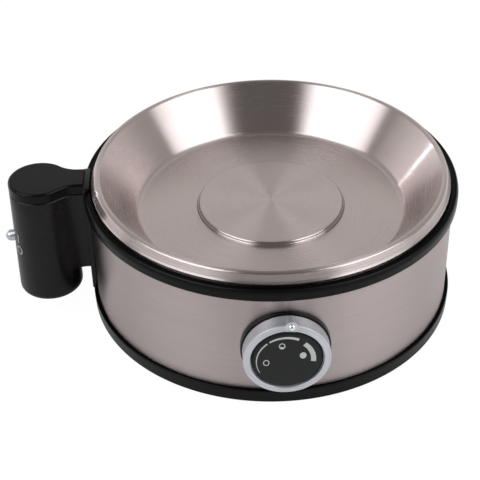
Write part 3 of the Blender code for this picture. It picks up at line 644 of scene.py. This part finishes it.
# ------------------------------------------------------------------ toggle and its marks
TILT = math.radians(9.0)
dome = [(2.9 * sin(math.radians(a)), -10.45 - 2.9 * cos(math.radians(a))) for a in range(0, 91, 9)]
profile = [(0.0, dome[0][1])] + dome[1:] + rounded([(2.9, -10.2), (2.9, -6.6, 0.5), (1.8, -5.4, 0.4), (1.8, 0.0), (0, 0.0)], segments=4)
bm = turned([(r, -t) for r, t in profile], 56)
bmesh.ops.rotate(bm, cent=(0, 0, 0), matrix=Matrix.Rotation(math.radians(-90), 3, "Y"), verts=bm.verts)
bmesh.ops.translate(bm, vec=PIVOT, verts=bm.verts)
bmesh.ops.rotate(bm, cent=PIVOT, matrix=Matrix.Rotation(-TILT, 3, "Y"), verts=bm.verts)
lever = made("toggle_tip", bm, LEVER_SILVER, "toggle", ["toggle_lever"], "satin_silver")
tail = rod((PIVOT.x + 1.0, 0, PIVOT.z), (PIVOT.x + 3.9, 0, PIVOT.z), 1.2, 24)
bmesh.ops.rotate(tail, cent=PIVOT, matrix=Matrix.Rotation(-TILT, 3, "Y"), verts=tail.verts)
combine(lever, "UNION", rod((PIVOT.x, -4.6, PIVOT.z), (PIVOT.x, 4.6, PIVOT.z), 2.5, 40), tail)
combine(lever, "DIFFERENCE", rod((PIVOT.x, -9, PIVOT.z), (PIVOT.x, 9, PIVOT.z), 1.1, 24))
resharpen(lever)


def on_pod(angle, z, lift=0.03):
    r = pod_radius(z) + lift
    return (POD_X + r * cos(angle), r * sin(angle), z)


def pod_mark(name, cells):
    """A thin print wrapped on the pod: quads of (angle, height) cells, closed all round."""
    bm = bmesh.new()
    cache = {}

    def vert(a, z, lift):
        key = (round(a, 6), round(z, 5), lift)
        if key not in cache:
            cache[key] = bm.verts.new(on_pod(a, z, lift))
        return cache[key]

    for quad in cells:
        bm.faces.new([vert(a, z, 0.035) for a, z in quad])
        bm.faces.new([vert(a, z, -0.02) for a, z in reversed(quad)])
    for edge in [e for e in bm.edges if e.is_boundary]:
        pass
    border = [e for e in bm.edges if len(e.link_faces) == 1]
    pairs = {}
    for e in border:
        for v in e.verts:
            pairs.setdefault(v, None)
    lookup = {v: key for key, v in cache.items()}
    for e in border:
        a, b = e.verts
        ka, kb = lookup[a], lookup[b]
        if ka[2] > 0:
            c, d = cache[(kb[0], kb[1], -0.02)], cache[(ka[0], ka[1], -0.02)]
            bm.faces.new((a, b, c, d))
    return made(name, bm, PRINT_SOFT, "base", (), "black_plastic")


MARK = math.radians(180 + 36)
bar_w = 0.7 / 15.6
cells = []
for k in range(6):
    z0, z1 = 39.7 + 4.8 * k / 6, 39.7 + 4.8 * (k + 1) / 6
    cells.append([(MARK - bar_w / 2, z0), (MARK + bar_w / 2, z0), (MARK + bar_w / 2, z1), (MARK - bar_w / 2, z1)])
pod_mark("switch_mark_on", cells)
cells = []
for k in range(28):
    a, b = 2 * pi * k / 28, 2 * pi * (k + 1) / 28
    ring_points = []
    for t, (rx, rz) in ((a, (2.2, 2.5)), (b, (2.2, 2.5)), (b, (1.6, 1.95)), (a, (1.6, 1.95))):
        ring_points.append((MARK + rx * cos(t) / 15.6, 35.2 + rz * sin(t)))
    cells.append(ring_points)
pod_mark("switch_mark_off", cells)

# ------------------------------------------------------------------ underside
plate_profile = rounded([
    (0, 22.0), (76.4, 22.0, 1.2), (76.4, 3.3, 0.3), (88.1, 3.3, 0.2), (88.1, 1.9, 0.3), (74.6, 1.9, 0.6),
    (74.6, 20.2, 1.0), (37.0, 20.2, 0.8), (37.0, 4.6, 0.4), (42.0, 4.6, 0.3), (42.0, 3.0, 0.5), (35.0, 3.0, 0.5),
    (35.0, 20.2, 0.6), (0, 20.2)], segments=3)
plate = made("base_plate_moulding", turned(plate_profile, 144), BASE_BLACK, "base", ["base_plate"], "base_plastic")
EXIT = (66.0 * cos(math.radians(72)), 66.0 * sin(math.radians(72)))
vents = []
for i in range(6):
    slot = box((46.0, -1.6, 18.0), (64.0, 1.6, 24.0), 1.5, 4, lambda e: abs(e.verts[0].co.z - e.verts[1].co.z) > 1)
    bmesh.ops.rotate(slot, cent=(0, 0, 0), matrix=Matrix.Rotation(math.radians(60 * i + 42), 3, "Z"), verts=slot.verts)
    vents.append(slot)
combine(plate, "DIFFERENCE", box((-44, -3.8, 1.0), (-33, 3.8, 18.0), 1.2, 3, lambda e: abs(e.verts[0].co.x - e.verts[1].co.x) > 1),
        rod((*EXIT, 18.0), (*EXIT, 24.0), 5.0), rod((*EXIT, 16.0), (*EXIT, 20.45), 6.9), *vents,
        *[rod((x, y, 1.0), (x, y, 6.0), 1.6, 24) for x, y in screw_at])
resharpen(plate)

for i, a in enumerate((45, 135, 225, 315)):
    x, y = 82.3 * cos(math.radians(a)), 82.3 * sin(math.radians(a))
    made("foot_pad_%d" % (i + 1), turned(rounded([
        (0, 1.6), (4.7, 1.6, 0.15), (4.7, 0.3, 0.3), (4.2, 0.0, 0.3), (2.9, 0.0, 0.1), (2.7, 0.25, 0.1), (2.3, 0.25, 0.1),
        (2.1, 0.0, 0.1), (0, 0.0)], segments=3), 48, centre=(x, y)), RUBBER, "base", ["foot_%d" % (i + 1)], "rubber")

for i, (x, y) in enumerate(screw_at):
    screw = made("base_screw_head_%d" % (i + 1), turned(rounded([
        (0, 9.0), (0.4, 8.6, 0.1), (1.3, 7.4, 0.1), (1.3, 1.6, 0.1), (2.8, 1.6, 0.1), (2.7, 1.2, 0.2), (2.0, 0.6, 0.5), (0, 0.5)],
        segments=3), 40, centre=(x, y)), ZINC, "base", ["base_screw_%d" % (i + 1)], "zinc_steel")
    for turn in (0, 90):
        slot = box((-1.35, -0.24, 0.3), (1.35, 0.24, 1.25))
        bmesh.ops.rotate(slot, cent=(0, 0, 0), matrix=Matrix.Rotation(math.radians(turn + 25 * i), 3, "Z"), verts=slot.verts)
        bmesh.ops.translate(slot, vec=(x, y, 0), verts=slot.verts)
        combine(screw, "DIFFERENCE", slot)
    resharpen(screw)


def tube(name, points, radius, mat, slot, nodes=(), sides=6, body="base"):
    data = bpy.data.curves.new(name, "CURVE")
    data.dimensions = "3D"
    data.bevel_depth = radius * MM
    data.bevel_resolution = sides
    data.use_fill_caps = True
    spline = data.splines.new("POLY")
    spline.points.add(len(points) - 1)
    for point, place in zip(spline.points, points):
        point.co = (*(Vector(place) * MM), 1.0)
    data.materials.append(mat)
    obj = bpy.data.objects.new(name, data)
    obj.location = AXIS
    bpy.context.scene.collection.objects.link(obj)
    graph = bpy.context.evaluated_depsgraph_get()
    mesh = bpy.data.meshes.new_from_object(obj.evaluated_get(graph), depsgraph=graph)
    bpy.data.objects.remove(obj, do_unlink=True)
    mesh.name = name
    bm = bmesh.new()
    bm.from_mesh(mesh)
    bmesh.ops.remove_doubles(bm, verts=bm.verts, dist=1e-7)
    bmesh.ops.recalc_face_normals(bm, faces=bm.faces)
    bm.to_mesh(mesh)
    bm.free()
    mesh.shade_smooth()
    mesh.set_sharp_from_angle(angle=math.radians(40))
    obj = bpy.data.objects.new(name, mesh)
    obj.location = AXIS
    bpy.context.scene.collection.objects.link(obj)
    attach(obj, body)
    if nodes:
        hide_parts(*nodes)
    return obj


def smooth_path(points, steps=6):
    """A Catmull-Rom run through the points."""
    points = [Vector(p) for p in points]
    out = []
    for i in range(len(points) - 1):
        p0, p1 = points[max(0, i - 1)], points[i]
        p2, p3 = points[i + 1], points[min(len(points) - 1, i + 2)]
        for k in range(steps):
            t = k / steps
            out.append(0.5 * ((2 * p1) + (p2 - p0) * t + (2 * p0 - 5 * p1 + 4 * p2 - p3) * t * t
                              + (3 * p1 - p0 - 3 * p2 + p3) * t * t * t))
    out.append(points[-1])
    return out


spiral = []
for i in range(1, 56):
    t = i / 56
    a = math.radians(180.0 + 972.0 * t)
    r = 48.0 + 18.0 * t
    spiral.append((r * cos(a), r * sin(a), 13.2))
cord_path = smooth_path([(-18.6, 0, 11.0), (-30, 0, 11.0), (-41, 0, 12.0), (-46.5, -0.8, 13.0)] + spiral
                        + [(*EXIT, 14.2)], 5) + [Vector((*EXIT, 17.0)), Vector((*EXIT, 27.0))]
tube("cord_wound", cord_path, 2.95, CORD, "cord_pvc", ["mains_cord"])

made("cord_bush_moulding", turned(rounded([
    (3.3, 26.0, 0.2), (4.6, 26.0, 0.4), (4.6, 19.0, 0.2), (6.6, 19.0, 0.2), (6.6, 17.6, 0.5), (3.3, 17.6, 0.3)],
    closed=True, segments=3), 48, centre=EXIT), RUBBER, "base", ["cord_bush"], "rubber")

plug = made("plug_body", box((-18.2, -12.6, 4.6), (12.0, 12.6, 17.6), 3.6, 6,
                             lambda e: abs(e.verts[0].co.x - e.verts[1].co.x) > 1), CORD, "base", ["plug"], "cord_pvc")
soften(plug, 0.9, 3, 50)
grooves = []
for side in (-1, 1):
    for k in range(5):
        x = -13.0 + 3.6 * k
        grooves.append(box((x, side * 12.0 - 0.9, 6.6), (x + 1.5, side * 12.0 + 0.9, 15.6), 0.5, 2))
combine(plug, "DIFFERENCE", *grooves, *[rod((6.0, y, 11.0), (14.0, y, 11.0), 2.05, 32) for y in (-9.3, 9.3)])
resharpen(plug)
for i, y in enumerate((-9.3, 9.3)):
    bm = turned(rounded([(0, 30.6), (2.0, 30.5, 1.4), (2.0, 6.3), (0, 6.3)], segments=6), 40)
    bmesh.ops.rotate(bm, cent=(0, 0, 0), matrix=Matrix.Rotation(math.radians(90), 3, "Y"), verts=bm.verts)
    bmesh.ops.translate(bm, vec=(0, y, 11.0), verts=bm.verts)
    pin = made("plug_pin_%d" % (i + 1), bm, PIN, "base", ["plug"], "cord_pvc")
    bm = turned(rounded([(2.02, 12.1, 0.1), (2.14, 12.1, 0.1), (2.14, 21.0, 0.1), (2.02, 21.0, 0.1)], closed=True, segments=2), 40)
    bmesh.ops.rotate(bm, cent=(0, 0, 0), matrix=Matrix.Rotation(math.radians(90), 3, "Y"), verts=bm.verts)
    bmesh.ops.translate(bm, vec=(0, y, 11.0), verts=bm.verts)
    made("plug_pin_sleeve_%d" % (i + 1), bm, CORD, "base", ["plug"], "cord_pvc")

# ------------------------------------------------------------------ finishes of the inner CAD nodes
inner = {
    "dish_gasket": moulded("gasket_silicone", (0.05, 0.05, 0.052), 0.65, grain=1200.0),
    "heat_spreader": plain_metal("cast_aluminium", (0.80, 0.80, 0.82), 0.45, scale=1500.0),
    "heating_element": plain_metal("heat_tinted_sheath", (0.36, 0.33, 0.31), 0.42, tint=(0.33, 0.24, 0.16)),
    "clamp_bar": ZINC, "clamp_nut": ZINC, "dial_post": ZINC, "lever_pin": ZINC,
    "pod_screw_1": ZINC, "pod_screw_2": ZINC,
    "thermal_fuse": plain_metal("fuse_case", (0.78, 0.74, 0.66), 0.35),
    "terminal_block": moulded("natural_nylon", (0.80, 0.78, 0.72), 0.45, grain=1600.0),
    "regulator_cam": moulded("white_nylon", (0.82, 0.82, 0.79), 0.40, grain=1600.0),
    "regulator_body": moulded("steatite_ceramic", (0.78, 0.75, 0.67), 0.62, grain=2600.0, strength=0.4),
    "regulator_cover": moulded("brown_phenolic", (0.16, 0.08, 0.05), 0.45),
    "switch_body": moulded("dark_phenolic", (0.09, 0.045, 0.03), 0.45),
    "lead_block_to_regulator": sleeve("red_silicone", (0.45, 0.045, 0.04)),
    "lead_block_to_switch": sleeve("blue_silicone", (0.05, 0.09, 0.38)),
    "lead_switch_to_fuse": sleeve("black_silicone", (0.03, 0.03, 0.03)),
    "lead_fuse_to_element": sleeve("white_glass_sleeve", (0.72, 0.71, 0.67), True),
    "lead_regulator_to_element": sleeve("white_glass_sleeve_2", (0.72, 0.71, 0.67), True),
}
BRASS = plain_metal("plain_brass", (0.74, 0.58, 0.30), 0.33, tint=(0.50, 0.36, 0.18))
BRONZE = plain_metal("spring_bronze", (0.74, 0.50, 0.32), 0.30, tint=(0.52, 0.32, 0.20))
for name in ("drive_sleeve", "regulator_nut", "regulator_terminal_1", "regulator_terminal_2",
             "switch_terminal_1", "switch_terminal_2"):
    inner[name] = BRASS
for name in ("contact_leaf", "contact_rocker"):
    inner[name] = BRONZE
for name, mat in inner.items():
    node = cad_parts[name]
    node.data.materials.clear()
    node.data.materials.append(mat)

# ------------------------------------------------------------------ floor, light and camera
scene = bpy.context.scene
bm = bmesh.new()
bmesh.ops.create_circle(bm, cap_ends=True, radius=3.0, segments=96)
mesh = bpy.data.meshes.new("studio_floor")
bm.to_mesh(mesh)
bm.free()
floor = bpy.data.objects.new("studio_floor", mesh)
scene.collection.objects.link(floor)
paper = bpy.data.materials.new("white_paper")
paper.use_nodes = True
tree = paper.node_tree
shader = tree.nodes["Principled BSDF"]
shader.inputs["Roughness"].default_value = 0.9
shader.inputs["Specular IOR Level"].default_value = 0.1
grain = tree.nodes.new("ShaderNodeTexNoise")
grain.inputs["Scale"].default_value = 700.0
ramp = tree.nodes.new("ShaderNodeMapRange")
ramp.inputs["To Min"].default_value, ramp.inputs["To Max"].default_value = 0.50, 0.52
tree.links.new(grain.outputs["Fac"], ramp.inputs["Value"])
place = tree.nodes.new("ShaderNodeSeparateXYZ")
tree.links.new(tree.nodes.new("ShaderNodeTexCoord").outputs["Object"], place.inputs[0])
painted_light_to_right = tree.nodes.new("ShaderNodeMapRange")                 # painted light: the paper's colour is made brighter towards the right
for key, number in (("From Min", -0.06), ("From Max", 0.16), ("To Min", 0.96), ("To Max", 1.25)):
    painted_light_to_right.inputs[key].default_value = number
tree.links.new(place.outputs["X"], painted_light_to_right.inputs["Value"])
lit = tree.nodes.new("ShaderNodeMath")
lit.operation = "MULTIPLY"
tree.links.new(ramp.outputs["Result"], lit.inputs[0])
tree.links.new(painted_light_to_right.outputs["Result"], lit.inputs[1])
tree.links.new(lit.outputs[0], shader.inputs["Base Color"])
glow = tree.nodes.new("ShaderNodeEmission")
glow.inputs["Color"].default_value = (1.0, 1.0, 1.0, 1)
glow.inputs["Strength"].default_value = 1.03
path = tree.nodes.new("ShaderNodeLightPath")
seen = tree.nodes.new("ShaderNodeMath")
seen.operation = "MULTIPLY"
seen.inputs[1].default_value = 0.93
tree.links.new(path.outputs["Is Camera Ray"], seen.inputs[0])
blend = tree.nodes.new("ShaderNodeMixShader")
tree.links.new(seen.outputs[0], blend.inputs[0])
tree.links.new(shader.outputs[0], blend.inputs[1])
tree.links.new(glow.outputs[0], blend.inputs[2])
# the table glows a little of its own light, and can be looked through from below
shine = tree.nodes.new("ShaderNodeEmission")
shine.inputs["Strength"].default_value = 0.30
both = tree.nodes.new("ShaderNodeAddShader")
tree.links.new(shader.outputs[0], both.inputs[0])
tree.links.new(shine.outputs[0], both.inputs[1])
tree.links.new(both.outputs[0], blend.inputs[1])
under = tree.nodes.new("ShaderNodeMixShader")
tree.links.new(tree.nodes.new("ShaderNodeNewGeometry").outputs["Backfacing"], under.inputs[0])
tree.links.new(blend.outputs[0], under.inputs[1])
tree.links.new(tree.nodes.new("ShaderNodeBsdfTransparent").outputs[0], under.inputs[2])
tree.links.new(under.outputs[0], tree.nodes["Material Output"].inputs["Surface"])
mesh.materials.append(paper)


FRONT, FILL, TOP, LOW_BACK, BACK = 0.15, 0.42, 0.19, 0.38, 0.28          # room brightness by part
PANELS = [(-88, -30, 20, 66, 2.60, 0.8, 7.5), (40.5, 90, 20, 66, 2.60, 7.5, 0.8), (40, 150, -4, 14, 0.25, 3.0, 3.0),
          (-150, -95, -4, 18, 0.68, 3.0, 3.0)]


TUBE, TUBE_AT, TUBE_TURN = 13.0, 8.5, 0.786


def aim(azimuth, elevation):
    a, e = math.radians(azimuth), math.radians(elevation)
    return Vector((cos(a) * cos(e), sin(a) * cos(e), sin(e)))


def softbox(name, azimuth, elevation, distance, width, height, radiance, colour=(1, 1, 1), roll=0.0):
    data = bpy.data.lights.new(name, "AREA")
    data.shape, data.size, data.size_y = "RECTANGLE", width, height
    data.energy = radiance * pi * width * height
    data.color = colour
    obj = bpy.data.objects.new(name, data)
    direction = aim(azimuth, elevation)
    obj.location = AXIS + Vector((0, 0, 0.06)) + direction * distance
    turn = direction.to_track_quat("Z", "Y")
    obj.rotation_mode = "QUATERNION"
    obj.rotation_quaternion = turn @ Vector((0, 0, 1)).rotation_difference(Vector((0, 0, 1)))
    scene.collection.objects.link(obj)
    return obj


overhead = softbox("overhead_fill", 265, 78, 1.4, 1.6, 1.6, 0.10)
overhead.visible_glossy = False

world = bpy.data.worlds.new("studio")
scene.world = world
world.use_nodes = True
tree = world.node_tree
tree.nodes.clear()
output = tree.nodes.new("ShaderNodeOutputWorld")
background = tree.nodes.new("ShaderNodeBackground")
coord = tree.nodes.new("ShaderNodeTexCoord")
split = tree.nodes.new("ShaderNodeSeparateXYZ")
tree.links.new(coord.outputs["Generated"], split.inputs[0])


def wmath(operation, a, b=0.0, clamp=False):
    node = tree.nodes.new("ShaderNodeMath")
    node.operation, node.use_clamp = operation, clamp
    for socket, value in zip(node.inputs, (a, b)):
        if isinstance(value, bpy.types.NodeSocket):
            tree.links.new(value, socket)
        else:
            socket.default_value = value
    return node.outputs[0]


def wrange(value, low, high, start, end, kind="SMOOTHSTEP"):
    node = tree.nodes.new("ShaderNodeMapRange")
    node.interpolation_type = kind
    tree.links.new(value, node.inputs["Value"])
    for key, number in (("From Min", start), ("From Max", end), ("To Min", low), ("To Max", high)):
        node.inputs[key].default_value = number
    return node.outputs["Result"]


# the room, by turn from the camera's side (left negative) and by height, both in degrees
towards = wmath("ADD", wmath("MULTIPLY", split.outputs["X"], -0.0715), wmath("MULTIPLY", split.outputs["Y"], -0.9974))
across = wmath("ADD", wmath("MULTIPLY", split.outputs["X"], 0.9974), wmath("MULTIPLY", split.outputs["Y"], -0.0715))
turn_from = wmath("MULTIPLY", wmath("ARCTAN2", across, towards), 180 / pi)
rise_to = wmath("MULTIPLY", wmath("ARCSINE", split.outputs["Z"]), 180 / pi)
aside = wmath("ABSOLUTE", turn_from)


def panel(left, right, low, high, soft_left=0.7, soft_right=0.7, soft_up=4.0):
    """One where a light panel stands, nought elsewhere."""
    sides = wmath("MULTIPLY", wrange(turn_from, 0, 1, left - soft_left, left + soft_left),
                  wrange(turn_from, 1, 0, right - soft_right, right + soft_right))
    ends = wmath("MULTIPLY", wrange(rise_to, 0, 1, low - soft_up, low + soft_up), wrange(rise_to, 1, 0, high - soft_up, high + soft_up))
    return wmath("MULTIPLY", sides, ends)


level = wrange(aside, FRONT, FILL, 30, 48)
level = wmath("ADD", wmath("MULTIPLY", level, wrange(rise_to, 1, 0, 58, 74)), wrange(rise_to, 0, TOP, 58, 74))
level = wmath("ADD", level, wmath("MULTIPLY", wrange(rise_to, LOW_BACK, 0, 4, 24), wrange(aside, 0, 1, 85, 120)))
level = wmath("ADD", level, wmath("MULTIPLY", wmath("MULTIPLY", wrange(rise_to, 0, BACK, 12, 24), wrange(rise_to, 1, 0, 48, 62)),
                                  wrange(aside, 0, 1, 140, 166)))
lamps = 0.0
for left, right, low, high, radiance, soft_left, soft_right in PANELS:
    lamps = wmath("ADD", lamps, wmath("MULTIPLY", panel(left, right, low, high, soft_left, soft_right), radiance))

# a narrow tube behind on the left, curved so that the dish's wall shows it as one thin line
tube = math.radians(TUBE_AT)
along = wmath("ADD", wmath("MULTIPLY", split.outputs["X"], -sin(tube)), wmath("MULTIPLY", split.outputs["Y"], cos(tube)))
tube_on = wmath("MULTIPLY", wrange(wmath("ABSOLUTE", wmath("SUBTRACT", along, TUBE_TURN)), 1, 0, 0.002, 0.006), panel(-152, -108, 0, 20))
lamps = wmath("ADD", lamps, wmath("MULTIPLY", tube_on, TUBE))
tree.links.new(level, background.inputs["Strength"])
background.inputs["Color"].default_value = (1.0, 0.985, 0.97, 1)
cooler = tree.nodes.new("ShaderNodeBackground")
tree.links.new(lamps, cooler.inputs["Strength"])
cooler.inputs["Color"].default_value = (0.955, 0.995, 1.03, 1)
total = tree.nodes.new("ShaderNodeAddShader")
tree.links.new(background.outputs[0], total.inputs[0])
tree.links.new(cooler.outputs[0], total.inputs[1])
tree.links.new(total.outputs[0], output.inputs["Surface"])

camera_data = bpy.data.cameras.new("camera")
camera_data.lens, camera_data.sensor_width = 90.0, 36.0
camera_data.shift_x, camera_data.shift_y = -0.0645, -0.0206
camera_data.clip_start, camera_data.clip_end = 0.05, 20.0
camera = bpy.data.objects.new("camera", camera_data)
scene.collection.objects.link(camera)
side, rise = math.radians(4.1), math.radians(36.079)
back = Vector((-sin(side) * cos(rise), -cos(side) * cos(rise), sin(rise)))
right = Vector((cos(side), -sin(side), 0.0))
up = back.cross(right)
turn = Matrix((right, up, back)).transposed() @ Matrix.Rotation(math.radians(-0.198), 3, "Z")
camera.matrix_world = Matrix.Translation(AXIS + Vector((0, 0, 0.03375)) + back * 0.6191) @ turn.to_4x4()
scene.camera = camera
scene.view_settings.view_transform = "Standard"
scene.view_settings.look = "None"
